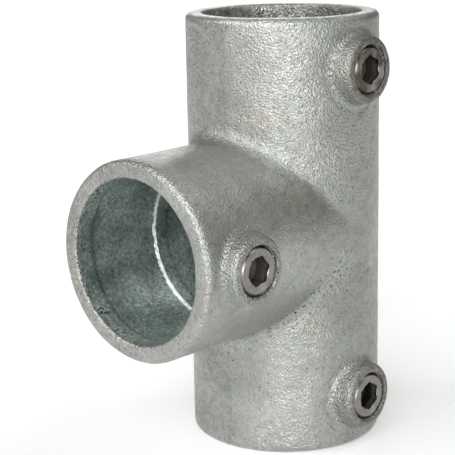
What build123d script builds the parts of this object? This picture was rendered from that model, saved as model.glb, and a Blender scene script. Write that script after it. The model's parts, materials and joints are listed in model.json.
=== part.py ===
from build123d import *
import os
from math import radians, tan

# Long tee clamp fitting for 48.3 mm scaffold and handrail tube.
#
# One hot-dip galvanised malleable-iron casting: a straight run sleeve with a
# branch socket standing square on its middle. Every mouth is gripped by one
# hexagon-socket set screw, driven through a boss that is cast on the wall.
#
# Frame, in millimetres: the origin is where the run axis crosses the branch
# axis, +Z goes up the run, the branch opens towards -X, and the three set
# screws are driven from the -Y side.

# Sockets: all three take the same tube.
tube_diameter = 48.3
tube_clearance = 0.45  # radial, between the tube and the cast lands
relief_depth = 0.9  # the bore stands back this far between its lands
wall = 4.5  # thinnest wall, behind the relief
mouth_land = 6.5  # length of the guiding land at each mouth
mouth_land_runout = 1.6  # slope from the mouth land to the relief
inner_land = 5.0  # length of the second land, beside the crossing bore
inner_land_runout = 0.3  # slope at each side of the inner land
land_setback = 3.0  # from the side of the crossing bore to the inner land
run_length = 134.0
branch_reach = 67.0  # run axis to branch mouth

# Cast edges.
blend_radius = 5.0  # between the branch and the run
crossing_round = 1.5  # where the branch bore breaks into the run bore
mouth_round = 2.0  # outer edge of each mouth
mouth_ease = 0.5  # inner edge of each mouth

# Bosses for the set screws.
boss_inset = 16.0  # mouth to boss axis
boss_height = 4.5  # face above the sleeve's outside
boss_rim = 2.475  # width of the boss face around its hole
boss_draft = 8.0  # degrees
boss_root = 2.0  # fillet where the boss grows out of the wall
boss_round = 1.5  # edge of the boss face

# Set screws: 3/8 pipe thread, drawn plain at its root diameter.
thread_radius = 7.475
thread_clearance = 0.05  # radial
hole_countersink = 0.2
screw_sunk = 0.3  # the screw's face lies this far below the boss face
screw_chamfer = 1.0
point_chamfer = 1.2
point_clearance = 0.2  # the screw's point stands back this far from the lands
hex_across_flats = 8.0
hex_depth = 4.8
hex_ease = 0.35  # the mouth of the hexagon is coned this far outside its flats
drill_angle = 59.0  # degrees, half the angle of the drill that opens the hexagon
cup_radius = 4.0
cup_depth = 1.0

land_radius = tube_diameter / 2 + tube_clearance
relief_radius = land_radius + relief_depth
sleeve_radius = relief_radius + wall
run_end = run_length / 2
boss_face = sleeve_radius + boss_height
boss_sink = boss_height + wall  # a boss is drawn from here, inside the wall
hole_radius = thread_radius + thread_clearance
boss_face_radius = hole_radius + boss_rim
screw_length = boss_face - screw_sunk - land_radius - point_clearance

# Each screw: x and z of its axis, and how far clockwise a corner of its hexagon
# stands from straight up, in degrees.
screws = {
    "upper_set_screw": (0, run_end - boss_inset, -4),
    "branch_set_screw": (boss_inset - branch_reach, 0, 19),
    "lower_set_screw": (0, boss_inset - run_end, -1),
}


def screw_plane(x, z, depth=0.0):
    """A plane across a screw's axis, facing out, this far below the boss face."""
    return Plane(origin=(x, depth - boss_face, z), x_dir=(1, 0, 0), z_dir=(0, -1, 0))


def bore_outline(mouth):
    """Half section of a cast bore, from the crossing out of one mouth: (radius, distance)."""
    land_end = relief_radius + land_setback
    land_start = land_end + inner_land
    return [
        (0, 0),
        (relief_radius, 0),
        (relief_radius, land_end - inner_land_runout),
        (land_radius, land_end),
        (land_radius, land_start),
        (relief_radius, land_start + inner_land_runout),
        (relief_radius, mouth - mouth_land - mouth_land_runout),
        (land_radius, mouth - mouth_land),
        (land_radius, mouth - mouth_ease),
        (land_radius + 2 * mouth_ease, mouth + mouth_ease),
        (0, mouth + mouth_ease),
    ]


# A bore's half section is drawn with its radius along the plane's first axis and its
# length along the second.
RIGHT_AND_UP = Plane(origin=(0, 0, 0), x_dir=(1, 0, 0), z_dir=(0, -1, 0))
BACK_AND_OUT = Plane(origin=(0, 0, 0), x_dir=(0, 1, 0), z_dir=(0, 0, 1))

with BuildPart() as sand_core:
    # What fills both bores in the mould: a quarter of it, rounded where they cross,
    # then mirrored.
    with BuildSketch(RIGHT_AND_UP):
        with BuildLine():
            Polyline(*bore_outline(run_end), close=True)
        make_face()
    revolve(axis=Axis.Z, revolution_arc=180)
    with BuildSketch(BACK_AND_OUT):
        with BuildLine():
            Polyline(*bore_outline(branch_reach), close=True)
        make_face()
    revolve(axis=Axis.X, revolution_arc=90)
    fillet(sand_core.edges().filter_by(GeomType.ELLIPSE), crossing_round)
    mirror(about=Plane.XZ)
    mirror(about=Plane.XY)

with BuildPart() as tee_body:
    # The outside: a quarter of two equal sleeves, blended where they cross, then mirrored.
    with BuildSketch(Plane.XY):
        Circle(sleeve_radius)
        Rectangle(
            2 * sleeve_radius,
            sleeve_radius,
            align=(Align.CENTER, Align.MIN),
            mode=Mode.INTERSECT,
        )
    extrude(amount=run_end)
    with BuildSketch(Plane.YZ.offset(-branch_reach)):
        Circle(sleeve_radius)
        Rectangle(
            sleeve_radius,
            sleeve_radius,
            align=(Align.MIN, Align.MIN),
            mode=Mode.INTERSECT,
        )
    extrude(amount=branch_reach)
    fillet(tee_body.edges().filter_by(GeomType.ELLIPSE), blend_radius)
    mirror(about=Plane.XZ)
    mirror(about=Plane.XY)

    # The bosses, drawn with a moulder's draft and rooted in the wall.
    for x, z, turn in screws.values():
        with Locations(screw_plane(x, z)):
            Cone(
                bottom_radius=boss_face_radius + boss_sink * tan(radians(boss_draft)),
                top_radius=boss_face_radius,
                height=boss_sink,
                align=(Align.CENTER, Align.CENTER, Align.MAX),
            )
        fillet(tee_body.edges(Select.NEW), boss_root)
    fillet(tee_body.faces().filter_by(Axis.Y).edges(), boss_round)
    mouths = tee_body.faces().filter_by(Axis.Z) + tee_body.faces().filter_by(Axis.X)
    fillet(mouths.edges(), mouth_round)

    # The inside, as the core leaves it.
    add(sand_core.part, mode=Mode.SUBTRACT)

    # The tapped holes.
    for x, z, turn in screws.values():
        with Locations(screw_plane(x, z)):
            CounterSinkHole(
                radius=hole_radius,
                counter_sink_radius=hole_radius + hole_countersink,
                depth=boss_face,
            )

with BuildPart() as set_screw:
    # Stands on its point under the XY plane, face up.
    Cylinder(
        radius=thread_radius,
        height=screw_length,
        align=(Align.CENTER, Align.CENTER, Align.MAX),
    )
    chamfer(set_screw.edges().sort_by(Axis.Z)[-1], screw_chamfer)
    chamfer(set_screw.edges().sort_by(Axis.Z)[0], point_chamfer)

    # The hexagon: drilled, then broached.
    with BuildSketch(Plane.XY):
        RegularPolygon(radius=hex_across_flats / 2, side_count=6, major_radius=False, rotation=30)
    extrude(amount=-hex_depth, mode=Mode.SUBTRACT)
    Cone(
        bottom_radius=hex_across_flats / 2,
        top_radius=hex_across_flats / 2 + hex_ease,
        height=hex_ease,
        align=(Align.CENTER, Align.CENTER, Align.MAX),
        mode=Mode.SUBTRACT,
    )
    with Locations(Plane.XY.offset(-hex_depth)):
        Cone(
            bottom_radius=0,
            top_radius=hex_across_flats / 2,
            height=hex_across_flats / 2 / tan(radians(drill_angle)),
            align=(Align.CENTER, Align.CENTER, Align.MAX),
            mode=Mode.SUBTRACT,
        )

    # The cup that bites into the tube.
    with Locations(Plane.XY.offset(-screw_length)):
        Cone(
            bottom_radius=cup_radius,
            top_radius=0,
            height=cup_depth,
            align=(Align.CENTER, Align.CENTER, Align.MIN),
            mode=Mode.SUBTRACT,
        )

os.makedirs("parts", exist_ok=True)
tee_body.part.label = "tee_body"
export_step(tee_body.part, "parts/tee_body.step")
for name, (x, z, turn) in screws.items():
    with BuildPart() as placed_screw:
        with Locations(screw_plane(x, z, screw_sunk).location * Rotation(0, 0, -turn)):
            add(set_screw.part)
    placed_screw.part.label = name
    export_step(placed_screw.part, f"parts/{name}.step")
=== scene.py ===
import json
import math
from types import SimpleNamespace
import bmesh
import bpy
from mathutils import Matrix, Vector, noise
from mathutils.bvhtree import BVHTree


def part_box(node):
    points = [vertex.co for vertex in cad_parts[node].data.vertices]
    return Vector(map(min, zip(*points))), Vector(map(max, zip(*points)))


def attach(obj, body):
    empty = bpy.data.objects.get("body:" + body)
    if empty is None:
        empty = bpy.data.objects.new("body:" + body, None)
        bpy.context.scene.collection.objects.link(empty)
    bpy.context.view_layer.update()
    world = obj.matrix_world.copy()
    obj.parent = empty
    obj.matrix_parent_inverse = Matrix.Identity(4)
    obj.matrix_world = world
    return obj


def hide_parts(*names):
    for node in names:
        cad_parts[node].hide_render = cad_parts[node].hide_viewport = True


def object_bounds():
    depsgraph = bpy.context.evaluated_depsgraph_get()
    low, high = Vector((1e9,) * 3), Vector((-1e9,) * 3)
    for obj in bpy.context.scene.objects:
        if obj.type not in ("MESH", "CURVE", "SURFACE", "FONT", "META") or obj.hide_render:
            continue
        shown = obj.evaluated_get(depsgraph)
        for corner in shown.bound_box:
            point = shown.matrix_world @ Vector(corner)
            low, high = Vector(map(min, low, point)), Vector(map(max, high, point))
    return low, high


# The looks of a long tee clamp fitting: a hot-dip galvanised malleable-iron casting
# and its three plated set screws. Lengths are in metres, written as millimetres x MM.

MM = 0.001

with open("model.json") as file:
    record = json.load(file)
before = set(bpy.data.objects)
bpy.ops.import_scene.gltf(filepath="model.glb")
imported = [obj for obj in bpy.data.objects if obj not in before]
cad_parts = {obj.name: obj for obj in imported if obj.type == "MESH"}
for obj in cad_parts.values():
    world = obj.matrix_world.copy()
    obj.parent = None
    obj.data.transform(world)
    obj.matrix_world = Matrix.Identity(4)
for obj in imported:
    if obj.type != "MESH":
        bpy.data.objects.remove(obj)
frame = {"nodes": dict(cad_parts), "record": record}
cad_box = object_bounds()

# Sizes that the frame gives.
tee_low, tee_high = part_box("tee_body")
run_end = tee_high.z
sleeve_radius = tee_high.x
branch_reach = -tee_low.x
boss_face = -tee_low.y
land_radius = frame["record"]["mounts"][0]["dims"]["r_mm"] * MM
screw_names = ("upper_set_screw", "branch_set_screw", "lower_set_screw")
screw_axes = {name: sum(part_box(name), Vector()) / 2 for name in screw_names}
screw_low, screw_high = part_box("upper_set_screw")
screw_radius = (screw_high.x - screw_low.x) / 2
screw_face = -screw_low.y
screw_point = -screw_high.y

inner_step = -33.6 * MM  # x of the step where the branch's second land starts, with a painted highlight on it

# The casting as it leaves the mould and the zinc bath.
skin_step = 0.55 * MM  # size of the faces that carry its unevenness
most_triangles = 188_000  # in the casting, before it is tapped
within_box = 0.9999  # a few thousandths of a millimetre inside the drawn part's box
long_wave, long_depth = 11.0 * MM, 0.10 * MM  # slow unevenness of the mould
short_wave, short_depth = 2.2 * MM, 0.050 * MM  # lumps that the sand leaves
parting = -3.3 * MM  # y of the joint between the mould's halves; the screws' half is rough
parting_height, parting_width, parting_step = 0.03 * MM, 0.7 * MM, 0.05 * MM
parting_fins = 7.0 * MM  # how fast the joint's ridge comes and goes along it
parting_fade = -45 * MM  # z at which the joint has faded out, on its way down from the middle
bore_roughness, back_roughness = 0.4, 0.4  # shares of the lumps in the bores and behind the joint
pit_spacing, pit_radius, pit_depth = 8.0 * MM, 0.75 * MM, 0.22 * MM
pit_seed, pit_chance = 5.7, 0.12  # a pit is there where its site's own noise is above the chance
crease_radius, crease_width, crease_depth = 12.7 * MM, 0.5 * MM, 0.16 * MM  # round each boss
crease_wave = 5.0 * MM
boss_reach = 16.0 * MM
tapped_rim = (0.4 * MM, 1.4 * MM)  # from the hole outwards, where the skin turns from even to uneven

# 3/8 pipe thread, 19 turns to the inch, on the screws and in the tapped holes.
thread_pitch = 25.4 / 19 * MM
thread_depth = 0.75 * MM
thread_clearance = 0.05 * MM
hole_radius = screw_radius + thread_clearance
countersink = 0.2 * MM

# The set screws.
face_chamfer = 1.0 * MM
point_chamfer = 1.2 * MM
hexagon_flats = 8.0 * MM
hexagon_depth = 4.8 * MM
hexagon_ease = (0.20 * MM, 0.24 * MM, 0.20 * MM)  # the cone at each socket's mouth
hexagon_turns = (-4.0, 19.0, -1.0)  # degrees, a corner from straight up
drill_half_angle = math.radians(59)
cup_radius, cup_depth = 4.0 * MM, 1.0 * MM

# Making the shapes.
weld = 0.01 * MM  # points nearer than this are one
over = MM  # how far a cutter passes the surface that it cuts
plug_overlap = 0.7 * MM
thread_tip = 22 * MM  # how far from the sleeve's axis the tapped thread ends
cone_over = 0.5 * MM
turned_segments, plug_segments, drill_segments = 96, 64, 48
hole_segments, screw_segments = 48, 64  # of each turn of the threads

# Colours as they look in plain light.
ZINC_DARK, ZINC_LIGHT, ZINC_DULL = "#989894", "#ABABA8", "#858682"
ZINC_COOL, ZINC_WARM = "#98A2A0", "#A8A39C"
BORE_DARK, BORE_LIGHT = "#84938F", "#ADB9B6"
# The sparkle colour paints glints and highlights; the darkest colour on this line paints shade in the gap
# round each screw.
SPARKLE, SPECK, BOSS_TARNISH, GAP_SHADE = "#D5DBD8", "#55534F", "#6C665F", "#1E1B19"
STEEL_DARK, STEEL_LIGHT, STEEL_TARNISH = "#827F7A", "#9C9994", "#544D45"
# Grease with painted shade for the screws' sockets, darkest and lightest.
GREASE_AND_SHADE, GREASE_AND_SHADE_LIGHT = "#1A1916", "#8F8A82"
PAPER, SURROUNDINGS = "#F1F1F4", "#7D7E75"
PAPER_LIFT = 0.225

# The zinc's patterns: the size of the lumps in millimetres, detail, roughness, distortion.
SKIN = {
    "cloud": (16.0, 3.0, 0.5, 0.0),
    "hue": (9.0, 2.0, 0.5, 0.0),
    "mottle": (2.6, 3.0, 0.6, 0.0),
    "pebbles": (0.6, 1.0, 0.5, 0.0),
    "grit": (0.34, 1.0, 0.5, 0.0),
    "specks": (0.9, 2.0, 0.7, 0.0),
    "blobs": (1.1, 1.0, 0.5, 0.0),
    "ripples": (3.2, 1.0, 0.5, 1.8),
}
GRAIN_SIZE, CELL_SIZE = 1.3, 0.95
# The part of a noise's range that a ramp takes up, for a soft and for a stronger contrast.
SOFT = {"From Min": 0.3, "From Max": 0.7}
FIRM = {"From Min": 0.35, "From Max": 0.65}

# How light the zinc is against its plain colour, with painted light and shade among it, and how strong
# its marks are.
BRANCH_TONE, FAR_TONE = 1.07, 0.85  # painted shade, lighter at the branch and darker across to the run's far side
BACK_TONE = 0.94  # on the smooth half of the mould
END_FACE_LIGHT = 1.18  # painted light on the run's end faces
STEP_SHINE = 0.4  # how bright the painted highlight on the step inside the branch is
PORE_SHADE = 0.34  # how dark the pits between the pebbles are
GRIME = 0.65  # how thick it is round each screw
CROTCH_HOLES, LAND_HOLES = 0.8, 1.4  # how closely pinholes crowd

# How high the pebbles stand, as shares of their full height: behind the mould joint, on the
# branch, on the run beside it and further off, what is left of that on the run's far side and
# at its foot, and then on the bosses, at the branch's mouth and in the run's bore.
BACK_PEEL, BRANCH_PEEL, NEAR_PEEL, RUN_PEEL, FAR_PEEL = 0.4, 0.42, 0.75, 1.1, 0.65
FOOT_PEEL, BOSS_PEEL, MOUTH_PEEL, CORE_PEEL = 0.48, 1.1, 0.9, 0.4
PEBBLE_HEIGHT, BLOB_HEIGHT, RIPPLE_HEIGHT, GRIT_HEIGHT = 0.43 * MM, 0.42 * MM, 0.35 * MM, 0.035 * MM

# How rough the zinc is at its glossiest and its dullest, less where it sparkles, and more
# round the crest over the branch.
ZINC_GLOSSY, ZINC_DULLEST, SPARKLE_GLOSS, CREST_ROUGHER = 0.36, 0.52, -0.14, 0.10
CREST_MM = (-24, -7, 30)

# Lamps, far off and as wide as a soft box looks: azimuth towards the branch's side from
# straight at the screws and elevation in degrees, and strength.
LAMPS = (
    ("key", 65, 35, 0.90),
    ("front", 50, 10, 1.25),
    ("low_front", 35, 10, 0.70),
    ("end", 100, 35, 0.80),
    ("back_end", 130, 35, 0.80),
    ("right", -40, 60, 0.62),
    ("behind", -133, 22, 0.50),
)
LAMP_WIDTH = math.radians(28)

# How tarnished each screw's face is, how light the grease and painted shade in its socket, how brown its
# boss.
SCREW_TARNISH = (1.0, 0.25, 0.2)
SOCKET_LIGHTNESS = (0.16, 0.30, 0.0)
BOSS_BROWN = (0.9, 0.3, 0.5)
# The rings that the lathe's tool left on the screws: spacing in millimetres, and heights.
RING_SPACING, RING_HEIGHT, STEEL_GRIT_HEIGHT = 0.55, 0.006 * MM, 0.015 * MM


def colour(code):
    """An sRGB hex colour as linear RGBA."""
    parts = [int(code[i:i + 2], 16) / 255 for i in (1, 3, 5)]
    return [c / 12.92 if c <= 0.04045 else ((c + 0.055) / 1.055) ** 2.4 for c in parts] + [1.0]


def new_material(name):
    """An empty material and its node tree."""
    material = bpy.data.materials.new(name)
    material.use_nodes = True
    material.node_tree.nodes.clear()
    return material, material.node_tree


def add(tree, kind, inputs=None, **settings):
    """Adds a node. An input takes a value, an output, or a node's first output."""
    made = tree.nodes.new("ShaderNode" + kind)
    for name, value in settings.items():
        setattr(made, name, value)
    for socket, value in (inputs or {}).items():
        if isinstance(value, bpy.types.Node):
            value = next(o for o in value.outputs if o.enabled)
        if isinstance(value, bpy.types.NodeSocket):
            tree.links.new(value, made.inputs[socket])
        else:
            made.inputs[socket].default_value = value
    return made


def smoothstep(start, end, value):
    """0 at the start, 1 at the end, an S curve between them; the start may be the higher."""
    t = min(1.0, max(0.0, (value - start) / (end - start)))
    return t * t * (3 - 2 * t)


def scratch_object(name, source):
    """An object for a mesh, or for a bmesh, which it frees."""
    mesh = source
    if isinstance(source, bmesh.types.BMesh):
        mesh = bpy.data.meshes.new(name)
        source.to_mesh(mesh)
        source.free()
    made = bpy.data.objects.new(name, mesh)
    bpy.context.scene.collection.objects.link(made)
    return made


def discard(*objects):
    """Deletes objects that were needed only while cutting."""
    for o in objects:
        bpy.data.objects.remove(o)


def applied(piece, kind, **settings):
    """Runs one modifier on a piece and keeps its result as the piece's mesh."""
    modifier = piece.modifiers.new(kind, kind)
    for name, value in settings.items():
        setattr(modifier, name, value)
    depsgraph = bpy.context.evaluated_depsgraph_get()
    mesh = bpy.data.meshes.new_from_object(piece.evaluated_get(depsgraph))
    piece.modifiers.clear()
    piece.data = mesh


def threaded_bar(x, z, crest, root, start, end, segments):
    """A closed threaded bar along Y, from -start to -end, as a bmesh."""
    bm = bmesh.new()
    turns = math.ceil((start - end) / thread_pitch) + 3
    flat = thread_pitch / 8
    steps = ((root, 0), (root, flat), (crest, thread_pitch / 2), (crest, thread_pitch / 2 + flat))
    points = [(r, i * thread_pitch + along) for i in range(turns) for r, along in steps]
    verts = [bm.verts.new((x + r, along - start - 2 * thread_pitch, z)) for r, along in points]
    edges = [bm.edges.new(pair) for pair in zip(verts, verts[1:])]
    bmesh.ops.spin(
        bm,
        geom=verts + edges,
        cent=(x, 0, z),
        axis=(0, 1, 0),
        dvec=(0, thread_pitch / segments, 0),
        angle=2 * math.pi,
        steps=segments,
    )
    bmesh.ops.remove_doubles(bm, verts=bm.verts, dist=weld)
    for y, side in ((-start, -1), (-end, 1)):
        cut = bmesh.ops.bisect_plane(
            bm,
            geom=bm.verts[:] + bm.edges[:] + bm.faces[:],
            plane_co=(0, y, 0),
            plane_no=(0, side, 0),
            clear_outer=True,
        )
        rim = [e for e in cut["geom_cut"] if isinstance(e, bmesh.types.BMEdge)]
        bmesh.ops.edgeloop_fill(bm, edges=rim)
    bmesh.ops.recalc_face_normals(bm, faces=bm.faces)
    return bm


def turned(x, z, outline, segments):
    """A solid turned about a screw's axis from (radius, distance out from the run axis) points."""
    bm = bmesh.new()
    verts = [bm.verts.new((x + r, -out, z)) for r, out in outline]
    edges = [bm.edges.new(pair) for pair in zip(verts, verts[1:])]
    bmesh.ops.spin(
        bm,
        geom=verts + edges,
        cent=(x, 0, z),
        axis=(0, 1, 0),
        angle=2 * math.pi,
        steps=segments,
        use_merge=True,
    )
    bmesh.ops.remove_doubles(bm, verts=bm.verts, dist=weld)
    bmesh.ops.recalc_face_normals(bm, faces=bm.faces)
    return bm


def joined(parts):
    """Several bmeshes as one."""
    whole = bmesh.new()
    for part in parts:
        mesh = bpy.data.meshes.new("part")
        part.to_mesh(mesh)
        part.free()
        whole.from_mesh(mesh)
        bpy.data.meshes.remove(mesh)
    return whole


def unevenness(point, normal):
    """How far the cast skin stands out of its drawn surface, negative inwards."""
    x, y, z = point
    outside = max(math.hypot(x, y), math.hypot(y, z) if x < -sleeve_radius else 0)
    outer = smoothstep(land_radius + 2 * MM, sleeve_radius - MM, outside)
    rough = back_roughness + (1 - back_roughness) * smoothstep(MM, -MM, y - parting)
    rough *= bore_roughness + (1 - bore_roughness) * outer
    height = long_depth * noise.fractal(point / long_wave, 1.0, 2.0, 2)
    height += short_depth * noise.noise(point / short_wave) * rough
    # The mould's two halves met a little out of line.
    beside = (y - parting) / parting_width
    fins = 0.5 + noise.noise(Vector((x, 3 * MM, z)) / parting_fins)
    ridge = parting_height * math.exp(-beside * beside) * fins
    joint = ridge - parting_step * math.tanh(beside)
    height += outer * (1 - abs(normal.y)) * joint * smoothstep(parting_fade, 0, z)
    # Small pits at random.
    distances, sites = noise.voronoi(point / pit_spacing)
    if noise.noise(sites[0] * pit_seed) > pit_chance:
        reach = distances[0] * pit_spacing / pit_radius
        height -= pit_depth * math.exp(-reach * reach)
    # A crease where each boss pattern was set on the sleeve.
    for axis in screw_axes.values():
        radius = math.hypot(x - axis.x, z - axis.z)
        if y < 0 and radius < boss_reach:
            step = (radius - crease_radius) / crease_width
            depth = crease_depth * (0.5 + noise.noise(point / crease_wave))
            height -= depth * math.exp(-step * step)
            height *= smoothstep(*tapped_rim, radius - hole_radius)
    return height


def cast_tee():
    """The casting, uneven as sand and zinc leave it, then drilled, countersunk and tapped."""
    drawn = bmesh.new()
    drawn.from_mesh(frame["nodes"]["tee_body"].data)
    bmesh.ops.remove_doubles(drawn, verts=drawn.verts, dist=0.001 * MM)
    stopped, inside = hole_radius + plug_overlap, land_radius + plug_overlap
    plugs = [
        turned(a.x, a.z, (
            (0, inside), (stopped, inside), (stopped, boss_face), (0, boss_face),
        ), plug_segments)
        for a in screw_axes.values()
    ]
    solid = joined([drawn] + plugs)
    surface = BVHTree.FromBMesh(solid)
    tee = scratch_object("galvanised_tee", solid)
    applied(tee, "REMESH", mode="VOXEL", voxel_size=skin_step)

    for vertex in tee.data.vertices:
        vertex.co = surface.find_nearest(vertex.co)[0]
    tee.data.update()
    low, high = (corner * within_box for corner in cad_box)
    moved = [v.co + v.normal * unevenness(v.co, v.normal) for v in tee.data.vertices]
    for vertex, place in zip(tee.data.vertices, moved):
        vertex.co = [min(max(p, a), b) for p, a, b in zip(place, low, high)]

    triangles = sum(len(p.vertices) - 2 for p in tee.data.polygons)
    if triangles > most_triangles:
        applied(tee, "DECIMATE", ratio=most_triangles / triangles)
    threads = [
        threaded_bar(
            a.x, a.z, hole_radius + thread_depth, hole_radius,
            boss_face + over, thread_tip, hole_segments,
        )
        for a in screw_axes.values()
    ]
    cones = [
        turned(a.x, a.z, (
            (0, boss_face + cone_over),
            (hole_radius + countersink + cone_over, boss_face + cone_over),
            (hole_radius - 2 * countersink, boss_face - 3 * countersink),
            (0, boss_face - 3 * countersink),
        ), turned_segments)
        for a in screw_axes.values()
    ]
    for cutters in (threads, cones):
        tool = scratch_object("tool", joined(cutters))
        applied(tee, "BOOLEAN", operation="DIFFERENCE", solver="MANIFOLD", object=tool)
        discard(tool)
    return tee


def set_screw(name, turn, ease):
    """A set screw: a threaded bar, faced, chamfered, cupped and given its hexagon."""
    axis = screw_axes[name]
    x, z = axis.x, axis.z
    blank = turned(x, z, (
        (0, screw_point + cup_depth),
        (cup_radius, screw_point),
        (screw_radius - point_chamfer, screw_point),
        (screw_radius, screw_point + point_chamfer),
        (screw_radius, screw_face - face_chamfer),
        (screw_radius - face_chamfer, screw_face),
        (0, screw_face),
    ), turned_segments)
    screw = scratch_object(name.replace("_set_screw", "_hexagon_screw"), blank)
    thread = threaded_bar(
        x, z, screw_radius, screw_radius - thread_depth,
        screw_face + over, screw_point - over, screw_segments,
    )
    bar = scratch_object("bar", thread)
    applied(screw, "BOOLEAN", operation="INTERSECT", solver="MANIFOLD", object=bar)

    # The key's socket: a drilled hole with a broached hexagon over it.
    socket = bmesh.new()
    corner = hexagon_flats / math.sqrt(3)
    hexagon = bmesh.ops.create_circle(socket, cap_ends=True, segments=6, radius=corner)["verts"]
    upright = Matrix.Rotation(math.radians(90), 4, "X")
    turned_to = Matrix.Rotation(math.radians(turn), 4, "Y")
    bmesh.ops.transform(socket, matrix=turned_to @ upright, verts=hexagon)
    bmesh.ops.translate(socket, vec=(x, -screw_face - over, z), verts=hexagon)
    pushed = bmesh.ops.extrude_face_region(socket, geom=socket.faces[:])
    ends = [v for v in pushed["geom"] if isinstance(v, bmesh.types.BMVert)]
    bmesh.ops.translate(socket, vec=(0, hexagon_depth + over, 0), verts=ends)
    bmesh.ops.recalc_face_normals(socket, faces=socket.faces)
    broach = scratch_object("broach", socket)
    floor = screw_face - hexagon_depth
    half = hexagon_flats / 2
    drill = scratch_object("drill", turned(x, z, (
        (0, screw_face + ease),
        (half + 2 * ease, screw_face + ease),
        (half, screw_face - ease),
        (half, floor),
        (0, floor - half / math.tan(drill_half_angle)),
    ), drill_segments))
    for tool in (broach, drill):
        applied(screw, "BOOLEAN", operation="DIFFERENCE", solver="MANIFOLD", object=tool)
    discard(bar, broach, drill)
    return screw


def dress(piece, material, sharp_angle, body, node):
    """Smooth shading up to an edge angle, one material, and the piece's place in the frame."""
    piece.data.materials.clear()
    piece.data.materials.append(material)
    for face in piece.data.polygons:
        face.use_smooth = True
        face.material_index = 0
    piece.data.set_sharp_from_angle(angle=math.radians(sharp_angle))
    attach(piece, body)
    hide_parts(node)


def casting_places(tree, in_mm):
    """Where a point of the casting lies: coordinates and distances in millimetres, and masks
    that are full in the place they name and 0 elsewhere."""
    end, reach, land = run_end / MM, branch_reach / MM, land_radius / MM
    joint, face = parting / MM, boss_face / MM
    at = SimpleNamespace()
    at.x, at.y, at.z = add(tree, "SeparateXYZ", {"Vector": in_mm}).outputs
    at.height = add(tree, "Math", {0: at.z}, operation="ABSOLUTE")
    from_run = add(tree, "VectorMath", {0: in_mm, 1: (1, 1, 0)}, operation="MULTIPLY")
    from_run = add(tree, "VectorMath", {0: from_run}, operation="LENGTH").outputs["Value"]
    from_branch = add(tree, "VectorMath", {0: in_mm, 1: (0, 1, 1)}, operation="MULTIPLY")
    at.from_branch = add(tree, "VectorMath", {0: from_branch}, operation="LENGTH").outputs["Value"]

    # The bores' skin starts a little outside their lands and just inside the end faces.
    skin = {"From Min": land + 2.4, "From Max": land + 1.4}
    at.in_run = add(tree, "MapRange", {"Value": from_run, **skin})
    in_branch = add(tree, "MapRange", {"Value": at.from_branch, **skin})
    left = add(tree, "Math", {0: at.x, 1: 0.0}, operation="LESS_THAN")
    in_branch = add(tree, "Math", {0: in_branch, 1: left}, operation="MULTIPLY")
    in_bore = add(tree, "Math", {0: at.in_run, 1: in_branch}, operation="MAXIMUM")
    below = add(tree, "MapRange", {"Value": at.height, "From Min": end - 0.3, "From Max": end - 1.0})
    within = add(tree, "MapRange", {"Value": at.x, "From Min": 0.3 - reach, "From Max": 1.0 - reach})
    in_bore = add(tree, "Math", {0: in_bore, 1: below}, operation="MULTIPLY")
    at.in_bore = add(tree, "Math", {0: in_bore, 1: within}, operation="MULTIPLY")
    # The bores turn teal with depth, but not on faces that look out of the branch.
    deep = add(tree, "MapRange", {
        "Value": at.height, "From Min": end - 4.0, "From Max": end - 26.0, "To Min": 0.15,
    })
    deep = add(tree, "Math", {0: deep, 1: in_branch}, operation="MAXIMUM")
    teal = add(tree, "Math", {0: at.in_bore, 1: deep}, operation="MULTIPLY")
    facing = add(tree, "TexCoord").outputs["Normal"]
    facing = add(tree, "SeparateXYZ", {"Vector": facing}).outputs["X"]
    wall = add(tree, "MapRange", {"Value": facing, "From Min": -0.22, "From Max": -0.05})
    at.teal = add(tree, "Math", {0: teal, 1: wall}, operation="MULTIPLY")
    # A painted highlight along the step inside the branch.
    step = add(tree, "Math", {0: at.x, 1: inner_step / MM}, operation="SUBTRACT")
    step = add(tree, "Math", {0: step}, operation="ABSOLUTE")
    step = add(tree, "MapRange", {
        "Value": step, "From Min": 0.6, "From Max": 0.3, "To Max": STEP_SHINE,
    })
    at.step = add(tree, "Math", {0: step, 1: in_branch}, operation="MULTIPLY")

    # The smooth half behind the mould joint, the screws' side, and the bosses.
    at.back = add(tree, "MapRange", {"Value": at.y, "From Min": joint - 0.2, "From Max": joint + 0.2})
    at.front = add(tree, "Math", {0: at.y, 1: 0.0}, operation="LESS_THAN")
    at.boss_top = add(tree, "MapRange", {"Value": at.y, "From Min": 1.6 - face, "From Max": 0.2 - face})
    across = add(tree, "VectorMath", {0: in_mm, 1: (1, 0, 1)}, operation="MULTIPLY")
    at.from_screw, at.brown = None, None
    for axis, depth in zip(screw_axes.values(), BOSS_BROWN):
        centre = (axis.x / MM, 0, axis.z / MM)
        away = add(tree, "VectorMath", {0: across, 1: centre}, operation="DISTANCE").outputs["Value"]
        stain = add(tree, "MapRange", {
            "Value": away, "From Min": 11.5, "From Max": 9.5, "To Max": depth,
        })
        if at.from_screw is not None:
            away = add(tree, "Math", {0: at.from_screw, 1: away}, operation="MINIMUM")
            stain = add(tree, "Math", {0: at.brown, 1: stain}, operation="ADD")
        at.from_screw, at.brown = away, stain

    # Pinholes crowd where gas gathered: in the crotch under the branch, and on the land at
    # the branch's mouth.
    crotch = add(tree, "Math", {0: at.x, 1: at.z}, operation="SUBTRACT")
    crotch = add(tree, "Math", {0: crotch}, operation="ABSOLUTE")
    crotch = add(tree, "MapRange", {
        "Value": crotch, "From Min": 10.0, "From Max": 0.0, "To Max": CROTCH_HOLES,
    })
    under = add(tree, "MapRange", {"Value": at.z, "From Min": -2.0, "From Max": -8.0})
    at.crotch = add(tree, "Math", {0: crotch, 1: under}, operation="MULTIPLY")
    crust = add(tree, "MapRange", {
        "Value": at.x, "From Min": 8.0 - reach, "From Max": 5.0 - reach, "To Max": LAND_HOLES,
    })
    at.crust = add(tree, "Math", {0: crust, 1: at.in_bore}, operation="MULTIPLY")
    return at


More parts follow.
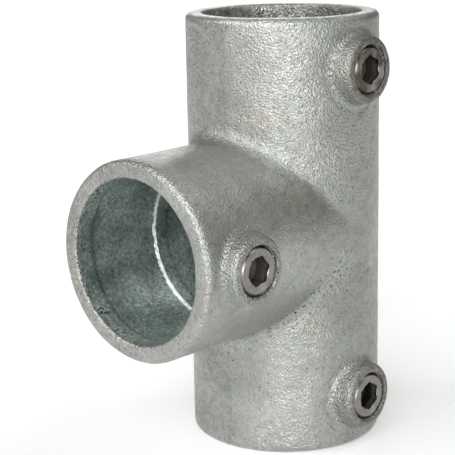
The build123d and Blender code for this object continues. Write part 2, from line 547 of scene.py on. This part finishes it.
def skin_patterns(tree, in_mm):
    """The noises and cells of the zinc's skin, by name."""
    askew = add(tree, "Mapping", {"Vector": in_mm, "Rotation": (0.5, 0.9, 0.3)})
    of = SimpleNamespace()
    for name, (size, detail, roughness, distortion) in SKIN.items():
        made = add(tree, "TexNoise", {
            "Vector": askew,
            "Scale": 1 / size,
            "Detail": detail,
            "Roughness": roughness,
            "Distortion": distortion,
        })
        setattr(of, name, made)
    wavy = add(tree, "VectorMath", {0: of.mottle.outputs["Color"], 1: askew}, operation="ADD")
    grains = add(tree, "TexVoronoi", {"Vector": wavy, "Scale": 1 / GRAIN_SIZE})
    of.grain = add(tree, "SeparateXYZ", {"Vector": grains.outputs["Color"]}).outputs["X"]
    of.from_grain = grains.outputs["Distance"]
    cells = add(tree, "TexVoronoi", {"Vector": askew, "Scale": 1 / CELL_SIZE})
    of.from_cell = cells.outputs["Distance"]
    return of


def zinc_colour(tree, at, of):
    """Dull zinc, here cooler, there warmer, teal in the bores, with dark pinholes, a rusty tint on the
    boss faces,
    and painted light and shade: darker across the part, lighter end faces, glints and a highlight in the
    branch, and shade in the gap round each screw."""
    light = add(tree, "MapRange", {"Value": of.cloud, **FIRM})
    cool = add(tree, "MapRange", {"Value": of.hue, "From Min": 0.52, "From Max": 0.68, "To Max": 0.45})
    warm = add(tree, "MapRange", {"Value": of.hue, "From Min": 0.46, "From Max": 0.32, "To Max": 0.3})
    patch = add(tree, "MapRange", {"Value": of.mottle, "From Min": 0.45, "From Max": 0.72})
    blotchy = add(tree, "MapRange", {"Value": at.back, "To Min": 0.22, "To Max": 0.6})
    patch = add(tree, "Math", {0: patch, 1: blotchy}, operation="MULTIPLY")
    inner = add(tree, "MapRange", {"Value": of.cloud, **SOFT})
    inner = add(tree, "Mix", {
        "Factor": inner, "A": colour(BORE_DARK), "B": colour(BORE_LIGHT),
    }, data_type="RGBA")
    zinc = colour(ZINC_DARK)
    for share, tint in (
        (light, colour(ZINC_LIGHT)),
        (cool, colour(ZINC_COOL)),
        (warm, colour(ZINC_WARM)),
        (patch, colour(ZINC_DULL)),
        (at.teal, inner),
    ):
        zinc = add(tree, "Mix", {"Factor": share, "A": zinc, "B": tint}, data_type="RGBA")

    # Lighter and darker from grain to grain; painted shade darkening the part from the branch across to
    # the run's far side, and painted light on the run's end faces.
    tone = add(tree, "MapRange", {"Value": of.grain, "To Min": 0.94, "To Max": 1.06})
    # Painted shade: lighter at the branch, darker across to the run's far side.
    painted_side_shade = add(tree, "MapRange", {
        "Value": at.x, "From Min": -35.0, "From Max": 25.0, "To Min": BRANCH_TONE, "To Max": FAR_TONE,
    })
    coarse = add(tree, "MapRange", {"Value": of.specks, **SOFT, "To Min": 0.88, "To Max": 1.12})
    behind = add(tree, "MapRange", {"Value": at.back, "To Min": 1.0, "To Max": BACK_TONE})
    end = run_end / MM
    # Painted light: the run's end faces are made lighter.
    painted_end_light = add(tree, "MapRange", {
        "Value": at.height, "From Min": end - 1.6, "From Max": end - 0.4,
        "To Min": 1.0, "To Max": END_FACE_LIGHT,
    })
    for share in (painted_side_shade, coarse, behind, painted_end_light):
        tone = add(tree, "Math", {0: tone, 1: share}, operation="MULTIPLY")
    # Fine grain, harsher inside the bores.
    salt = add(tree, "MapRange", {
        "Value": of.grit, "From Min": 0.25, "From Max": 0.75, "To Min": 0.85, "To Max": 1.15,
    })
    harsh = add(tree, "MapRange", {"Value": of.specks, **SOFT, "To Min": 0.75, "To Max": 1.25})
    for noisy, contrast in ((of.blobs, SOFT), (of.hue, FIRM)):
        clouded = add(tree, "MapRange", {"Value": noisy, **contrast, "To Min": 0.75, "To Max": 1.25})
        harsh = add(tree, "Math", {0: harsh, 1: clouded}, operation="MULTIPLY")
    salt = add(tree, "Mix", {"Factor": at.in_bore, "A": salt, "B": harsh})
    for share in (tone, salt):
        zinc = add(tree, "Mix", {
            "Factor": 1.0, "A": zinc, "B": share,
        }, data_type="RGBA", blend_type="MULTIPLY")

    # Painted glints on bright grains in the bores, and a painted highlight on the step inside the branch.
    dots = add(tree, "MapRange", {"Value": of.from_grain, "From Min": 0.24, "From Max": 0.12})
    chosen = add(tree, "MapRange", {"Value": of.grain, "From Min": 0.6, "From Max": 0.65})
    dots = add(tree, "Math", {0: dots, 1: chosen}, operation="MULTIPLY")
    glint = add(tree, "Math", {0: dots, 1: at.in_bore}, operation="MULTIPLY")
    glint = add(tree, "Math", {0: glint, 1: at.step}, operation="MAXIMUM")
    # Pinholes, few at random and more where they crowd.
    crusty = add(tree, "MapRange", {"Value": of.hue, "From Min": 0.5, "From Max": 0.6})
    crust = add(tree, "Math", {0: at.crust, 1: crusty}, operation="MULTIPLY")
    crowded = add(tree, "Math", {0: at.crotch, 1: crust}, operation="MAXIMUM")
    fleck = add(tree, "MapRange", {"Value": crowded, "From Max": 2.0, "To Max": 0.24})
    fleck = add(tree, "Math", {0: of.specks, 1: fleck}, operation="SUBTRACT")
    fleck = add(tree, "MapRange", {"Value": fleck, "From Min": 0.33, "From Max": 0.27})
    # A brown tint and grime round each screw, and painted shade in the gap round it.
    patchy = add(tree, "MapRange", {"Value": of.mottle, "From Min": 0.3, "From Max": 0.6, "To Min": 0.5})
    ring = add(tree, "Math", {0: at.brown, 1: at.boss_top}, operation="MULTIPLY")
    ring = add(tree, "Math", {0: ring, 1: patchy}, operation="MULTIPLY")
    hole = hole_radius / MM
    grime = add(tree, "MapRange", {
        "Value": at.from_screw, "From Min": hole + 2.2, "From Max": hole, "To Max": 0.15,
    })
    grime = add(tree, "Math", {0: of.specks, 1: grime}, operation="SUBTRACT")
    grime = add(tree, "MapRange", {
        "Value": grime, "From Min": 0.36, "From Max": 0.26, "To Max": GRIME,
    })
    grime = add(tree, "Math", {0: grime, 1: at.boss_top}, operation="MULTIPLY")
    # Painted shade: near black in the gap between the boss and each screw, on the screws' side.
    gap = add(tree, "MapRange", {
        "Value": at.from_screw, "From Min": hole + 0.15, "From Max": hole - 0.05,
    })
    gap = add(tree, "Math", {0: gap, 1: at.front}, operation="MULTIPLY")
    for share, tint in (
        (glint, SPARKLE),
        (fleck, SPECK),
        (ring, BOSS_TARNISH),
        (grime, SPECK),
        (gap, GAP_SHADE),
    ):
        zinc = add(tree, "Mix", {"Factor": share, "A": zinc, "B": colour(tint)}, data_type="RGBA")
    return zinc


def pebble_strength(tree, at, of):
    """How high the pebbles stand: highest on the screws' side of the mould joint, away from
    the branch, and again on the bosses and at the branch's mouth."""
    joint, reach = parting / MM, branch_reach / MM
    peel = add(tree, "MapRange", {
        "Value": at.y, "From Min": joint + 0.5, "From Max": joint - 0.5, "To Min": BACK_PEEL,
    })
    sleeve = add(tree, "MapRange", {"Value": at.from_branch, "From Min": 30.3, "From Max": 31.6})
    eased = add(tree, "MapRange", {
        "Value": at.x, "From Min": -24.0, "From Max": -10.0, "To Min": NEAR_PEEL, "To Max": RUN_PEEL,
    })
    sleeve = add(tree, "Math", {0: sleeve, 1: eased}, operation="MULTIPLY")
    sleeve = add(tree, "Math", {0: sleeve, 1: BRANCH_PEEL}, operation="MAXIMUM")
    fading = add(tree, "MapRange", {
        "Value": at.x, "From Min": -12.0, "From Max": 5.0, "To Min": 1.0, "To Max": FAR_PEEL,
    })
    lower = add(tree, "MapRange", {
        "Value": at.z, "From Min": -34.0, "From Max": -26.0, "To Min": FOOT_PEEL,
    })
    sleeve = add(tree, "Math", {0: sleeve, 1: fading}, operation="MULTIPLY")
    sleeve = add(tree, "Math", {0: sleeve, 1: lower}, operation="MULTIPLY")
    uneven = add(tree, "MapRange", {"Value": of.cloud, "From Min": 0.3, "From Max": 0.6, "To Min": 0.5})
    for share in (sleeve, uneven):
        peel = add(tree, "Math", {0: peel, 1: share}, operation="MULTIPLY")
    boss = add(tree, "MapRange", {
        "Value": at.from_screw, "From Min": 14.0, "From Max": 11.0, "To Max": BOSS_PEEL,
    })
    boss = add(tree, "Math", {0: boss, 1: at.front}, operation="MULTIPLY")
    mouth = add(tree, "MapRange", {"Value": at.x, "From Min": 5.0 - reach, "From Max": 2.0 - reach})
    mouth = add(tree, "Math", {0: mouth, 1: MOUTH_PEEL}, operation="MULTIPLY")
    core = add(tree, "MapRange", {
        "Value": at.x, "From Min": 11.8, "From Max": 12.4, "To Min": CORE_PEEL,
    })
    core = add(tree, "Math", {0: core, 1: at.in_run}, operation="MULTIPLY")
    for share in (boss, mouth, core):
        peel = add(tree, "Math", {0: peel, 1: share}, operation="MAXIMUM")
    return peel


def zinc_relief(tree, at, of, peel):
    """The skin's relief as a normal: pebbles, lumps behind the joint, ripples at the foot and
    grit all over."""
    cells = add(tree, "MapRange", {
        "Value": of.from_cell, "From Min": 0.05, "From Max": 0.5, "To Min": -0.25, "To Max": 0.0,
    }, interpolation_type="SMOOTHSTEP")
    pebbles = add(tree, "Math", {0: of.pebbles, 1: 0.5}, operation="SUBTRACT")
    pebbles = add(tree, "Math", {0: pebbles, 1: cells}, operation="ADD")
    pebbles = add(tree, "Math", {0: pebbles, 1: peel}, operation="MULTIPLY")
    outside = add(tree, "Math", {0: at.back, 1: at.in_bore}, operation="SUBTRACT", use_clamp=True)
    end = run_end / MM
    foot = add(tree, "MapRange", {"Value": at.z, "From Min": 14.0 - end, "From Max": 8.0 - end})
    lumps = []
    for noisy, share in ((of.blobs, outside), (of.ripples, foot)):
        lump = add(tree, "Math", {0: noisy, 1: 0.5}, operation="SUBTRACT")
        lumps.append(add(tree, "Math", {0: lump, 1: share}, operation="MULTIPLY"))
    relief = add(tree, "Bump", {"Height": pebbles, "Distance": PEBBLE_HEIGHT})
    layers = zip((*lumps, of.grit), (BLOB_HEIGHT, RIPPLE_HEIGHT, GRIT_HEIGHT))
    for height, distance in layers:
        relief = add(tree, "Bump", {"Height": height, "Distance": distance, "Normal": relief})
    return relief


def hot_dip_zinc():
    """Galvanised malleable iron: sand-cast, then dipped in molten zinc, which dulls to a
    pebbled grey skin that breaks a highlight into grains."""
    material, tree = new_material("hot_dip_galvanised_iron")
    place = add(tree, "TexCoord").outputs["Object"]
    in_mm = add(tree, "Mapping", {"Vector": place, "Scale": (1000, 1000, 1000)})
    at = casting_places(tree, in_mm)
    of = skin_patterns(tree, in_mm)
    peel = pebble_strength(tree, at, of)

    # The pits between the pebbles are darker.
    pores = add(tree, "MapRange", {
        "Value": of.from_cell, "From Min": 0.34, "From Max": 0.12, "To Max": PORE_SHADE,
    })
    pores = add(tree, "Math", {0: pores, 1: peel}, operation="MULTIPLY")
    pores = add(tree, "Math", {0: 1.0, 1: pores}, operation="SUBTRACT")
    zinc = add(tree, "Mix", {
        "Factor": 1.0, "A": zinc_colour(tree, at, of), "B": pores,
    }, data_type="RGBA", blend_type="MULTIPLY")

    dull = add(tree, "MapRange", {
        "Value": of.mottle, **SOFT, "To Min": ZINC_GLOSSY, "To Max": ZINC_DULLEST,
    })
    sparkle = add(tree, "MapRange", {"Value": of.specks, "From Min": 0.66, "From Max": 0.74})
    sparkle = add(tree, "MapRange", {"Value": sparkle, "To Max": SPARKLE_GLOSS})
    crest = add(tree, "VectorMath", {0: in_mm, 1: CREST_MM}, operation="DISTANCE").outputs["Value"]
    crest = add(tree, "MapRange", {
        "Value": crest, "From Min": 22.0, "From Max": 6.0, "To Max": CREST_ROUGHER,
    })
    for change in (sparkle, crest):
        dull = add(tree, "Math", {0: dull, 1: change}, operation="ADD")
    metal = add(tree, "MapRange", {"Value": at.teal, "To Min": 0.85, "To Max": 0.6})
    shader = add(tree, "BsdfPrincipled", {
        "Base Color": zinc,
        "Metallic": metal,
        "Roughness": dull,
        "Normal": zinc_relief(tree, at, of, peel),
    })
    add(tree, "OutputMaterial", {"Surface": shader})
    return material


def plated_steel(name, centre, tarnish, socket_lightness):
    """Zinc-plated steel, turned on a lathe: satin, faintly warm, with rings round its axis."""
    material, tree = new_material("zinc_plated_steel_" + name)
    place = add(tree, "TexCoord").outputs["Object"]
    offset = (-centre.x / MM, 0, -centre.z / MM)
    in_mm = add(tree, "Mapping", {"Vector": place, "Scale": (1000, 1000, 1000), "Location": offset})
    flat = add(tree, "VectorMath", {0: in_mm, 1: (1, 0, 1)}, operation="MULTIPLY")
    radius = add(tree, "VectorMath", {0: flat}, operation="LENGTH").outputs["Value"]
    y = add(tree, "SeparateXYZ", {"Vector": in_mm}).outputs["Y"]

    mottle = add(tree, "TexNoise", {"Vector": in_mm, "Scale": 1 / 2.2, "Detail": 3.0})
    grit = add(tree, "TexNoise", {"Vector": in_mm, "Scale": 1 / 0.25, "Detail": 1.0})
    smear = add(tree, "MapRange", {"Value": mottle, **FIRM})
    steel = add(tree, "Mix", {
        "Factor": smear, "A": colour(STEEL_DARK), "B": colour(STEEL_LIGHT),
    }, data_type="RGBA")
    smudge = add(tree, "TexNoise", {"Vector": in_mm, "Scale": 1 / 5.0, "Detail": 2.0})
    patchy = add(tree, "MapRange", {
        "Value": smudge, "From Min": 0.4, "From Max": 0.6, "To Min": 0.2 * tarnish, "To Max": tarnish,
    })
    steel = add(tree, "Mix", {"Factor": patchy, "A": steel, "B": colour(STEEL_TARNISH)}, data_type="RGBA")
    # Grease with painted shade, darker with depth, in the key's socket and in the thread.
    face = screw_face / MM
    sunk = add(tree, "MapRange", {"Value": y, "From Min": 0.5 - face, "From Max": 2.5 - face})
    grease_and_shade = [a + (b - a) * socket_lightness for a, b in zip(colour(GREASE_AND_SHADE), colour(GREASE_AND_SHADE_LIGHT))]
    steel = add(tree, "Mix", {"Factor": sunk, "A": steel, "B": grease_and_shade}, data_type="RGBA")
    # Tool rings, drawn as coarse as they need to be to show.
    turns = add(tree, "Math", {0: radius, 1: 2 * math.pi / RING_SPACING}, operation="MULTIPLY")
    turns = add(tree, "Math", {0: turns}, operation="SINE")
    rings = add(tree, "Bump", {"Height": turns, "Distance": RING_HEIGHT})
    rings = add(tree, "Bump", {"Height": grit, "Distance": STEEL_GRIT_HEIGHT, "Normal": rings})
    satin = add(tree, "MapRange", {"Value": mottle, **SOFT, "To Min": 0.26, "To Max": 0.42})
    satin = add(tree, "Mix", {"Factor": sunk, "A": satin, "B": 0.6})
    metal = add(tree, "MapRange", {"Value": sunk, "To Min": 1.0, "To Max": 0.6})
    shader = add(tree, "BsdfPrincipled", {
        "Base Color": steel, "Metallic": metal, "Roughness": satin, "Normal": rings,
    })
    add(tree, "OutputMaterial", {"Surface": shader})
    return material


def white_paper():
    """Matt white paper, lifted to white where the camera, a gloss or a glass sees it."""
    material, tree = new_material("white_paper")
    path = add(tree, "LightPath")
    seen = add(tree, "Math", {
        0: path.outputs["Is Camera Ray"], 1: path.outputs["Is Glossy Ray"],
    }, operation="MAXIMUM")
    seen = add(tree, "Math", {0: seen, 1: path.outputs["Is Transmission Ray"]}, operation="MAXIMUM")
    lift = add(tree, "Math", {0: seen, 1: PAPER_LIFT}, operation="MULTIPLY")
    shader = add(tree, "BsdfPrincipled", {
        "Base Color": colour(PAPER),
        "Roughness": 0.9,
        "Specular IOR Level": 0.2,
        "Emission Color": (1, 1, 1, 1),
        "Emission Strength": lift,
    })
    add(tree, "OutputMaterial", {"Surface": shader})
    return material


def studio():
    """White floor, pale surroundings and broad soft lamps."""
    world = bpy.data.worlds.new("studio")
    bpy.context.scene.world = world
    world.use_nodes = True
    surroundings = world.node_tree.nodes["Background"]
    surroundings.inputs["Color"].default_value = colour(SURROUNDINGS)
    surroundings.inputs["Strength"].default_value = 1.0

    floor = bmesh.new()
    bmesh.ops.create_circle(floor, cap_ends=True, segments=96, radius=6.0)
    bmesh.ops.translate(floor, vec=(0, 0, cad_box[0].z), verts=floor.verts)
    floor = scratch_object("floor", floor)
    floor.data.materials.append(white_paper())

    for name, azimuth, elevation, strength in LAMPS:
        lamp = bpy.data.lights.new(name, "SUN")
        lamp.angle = LAMP_WIDTH
        lamp.energy = strength
        made = bpy.data.objects.new(name, lamp)
        a, e = math.radians(azimuth), math.radians(elevation)
        towards = Vector((-math.sin(a) * math.cos(e), -math.cos(a) * math.cos(e), math.sin(e)))
        made.rotation_euler = towards.to_track_quat("Z", "Y").to_euler()
        bpy.context.scene.collection.objects.link(made)


def camera():
    """A long lens, turned to the branch's side and a little above the middle."""
    azimuth, elevation, roll = (math.radians(angle) for angle in (47.21, 13.37, -1.10))
    distance, aside, up = 464.4 * MM, -18.11 * MM, -1.64 * MM
    ahead = Vector((
        math.sin(azimuth) * math.cos(elevation),
        math.cos(azimuth) * math.cos(elevation),
        -math.sin(elevation),
    ))
    level = Vector((math.cos(azimuth), -math.sin(azimuth), 0))
    over = level.cross(ahead)
    right = math.cos(roll) * level + math.sin(roll) * over
    over = math.cos(roll) * over - math.sin(roll) * level
    view = bpy.data.cameras.new("camera")
    view.sensor_width = 36.0
    view.lens = 114.8
    view.clip_start = 0.01
    made = bpy.data.objects.new("camera", view)
    bpy.context.scene.collection.objects.link(made)
    turn = Matrix((right, over, -ahead)).transposed().to_4x4()
    made.matrix_world = Matrix.Translation(level * aside + Vector((0, 0, up)) - ahead * distance) @ turn
    bpy.context.scene.camera = made


bpy.context.scene.view_settings.view_transform = "Standard"
camera()
studio()
tee = cast_tee()
dress(tee, hot_dip_zinc(), 35, "fitting", "tee_body")
screws = zip(screw_names, hexagon_turns, hexagon_ease, SCREW_TARNISH, SOCKET_LIGHTNESS)
for name, turn, ease, tarnish, socket_lightness in screws:
    screw = set_screw(name, turn, ease)
    finish = plated_steel(name, screw_axes[name], tarnish, socket_lightness)
    dress(screw, finish, 30, name.replace("_set_screw", "_screw"), name)
